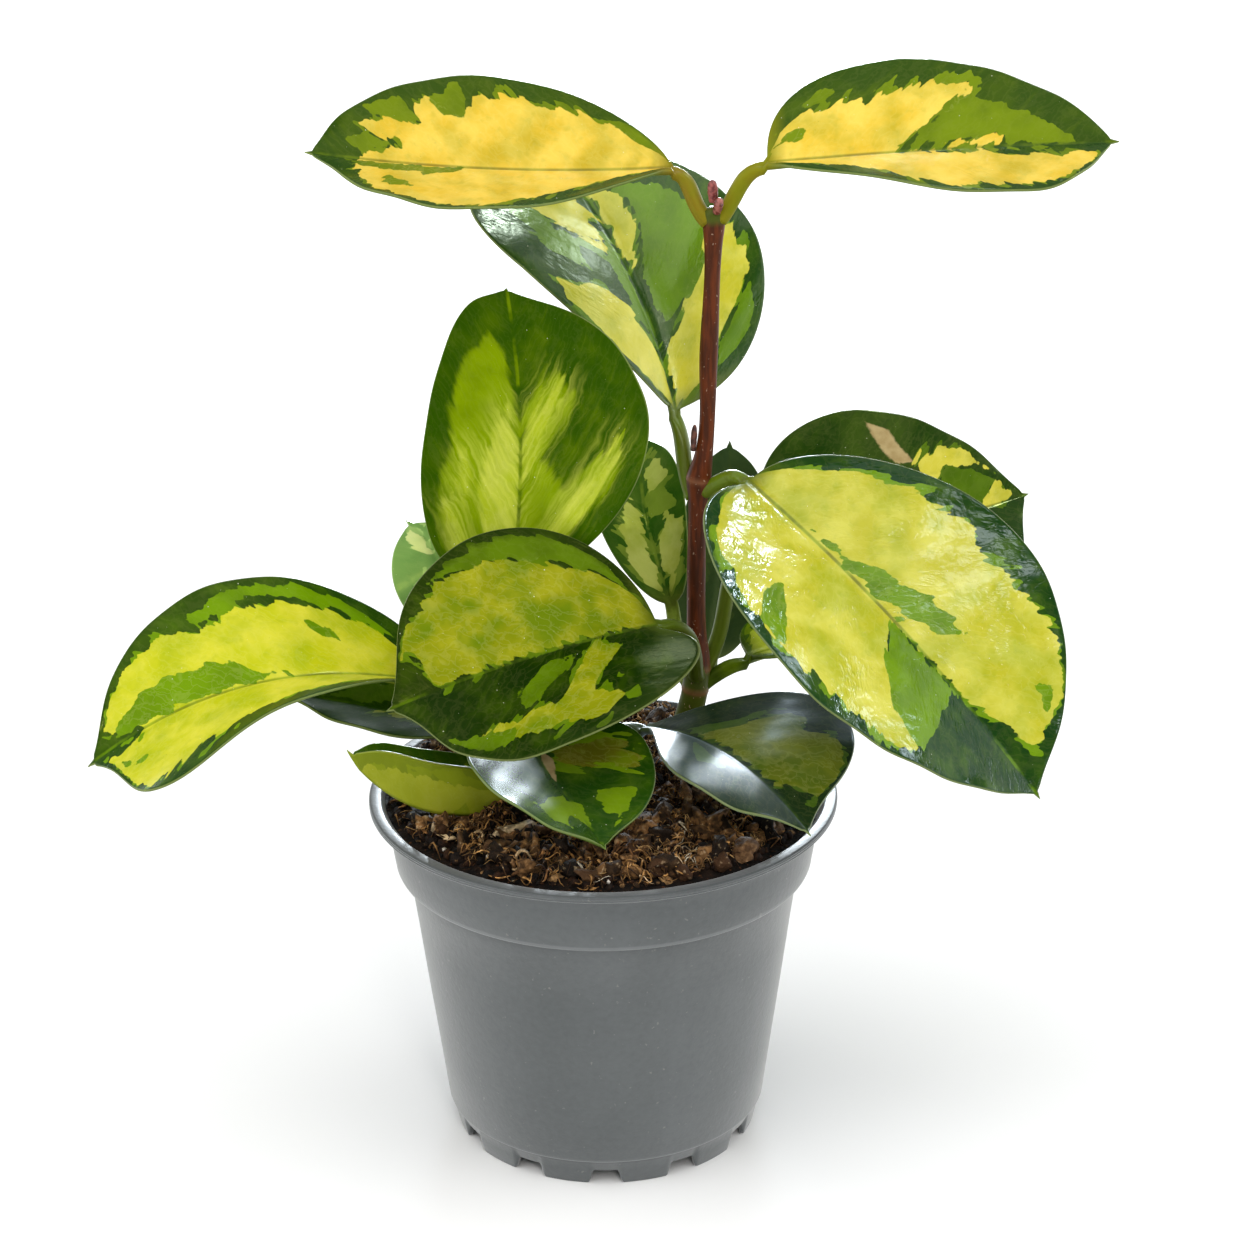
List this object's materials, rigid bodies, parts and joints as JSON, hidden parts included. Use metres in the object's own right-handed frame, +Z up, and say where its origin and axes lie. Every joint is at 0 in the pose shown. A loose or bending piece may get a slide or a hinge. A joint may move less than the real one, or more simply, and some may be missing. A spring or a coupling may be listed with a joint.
{
  "type": "potted wax plant",
  "caption": "Young wax plant with thick variegated leaves on upright stems, rooted in potting mix in a round grey plastic nursery pot with notched feet.",
  "frame": {"origin": "middle of the outer box in plan, at the level of the pot's feet", "axes": "+Z up along the pot's axis, the stems growing that way; -Y towards the side the picture was taken from; +X to the right of that view"},
  "size_m": [0.253, 0.1306, 0.2772],
  "materials": {
    "pot": "satin",
    "potting_mix": "rough, damp bark and coir",
    "stem_bark": "smooth, slightly waxy",
    "stem_green": "smooth, slightly waxy",
    "leaf_golden": "waxy, glossy",
    "leaf_variegated": "waxy, glossy",
    "leaf_green": "waxy, half matt",
    "leaf_lime": "waxy, half matt",
    "bud": "smooth"
  },
  "bodies": {
    "root": {"pot": "pot", "potting_mix": "potting_mix", "stem_main": "stem_bark", "stem_left": "stem_green", "stem_front": "stem_green", "stem_back": "stem_green", "leaf_top_left": "leaf_golden", "leaf_top_right": "leaf_golden", "leaf_upper_back": "leaf_variegated", "leaf_big_right": "leaf_variegated", "leaf_back_right": "leaf_variegated", "leaf_front": "leaf_variegated", "leaf_lime_right": "leaf_lime", "leaf_mid_back": "leaf_variegated", "leaf_grey_back": "leaf_green", "leaf_tall_left": "leaf_variegated", "leaf_small_back_left": "leaf_variegated", "leaf_far_left": "leaf_variegated", "leaf_under_left": "leaf_green", "leaf_low_left": "leaf_lime", "leaf_front_low": "leaf_variegated", "leaf_low_right": "leaf_variegated", "bud_upper": "bud", "bud_lower": "bud", "dormant_shoot": "stem_bark"}
  },
  "joints": []
}
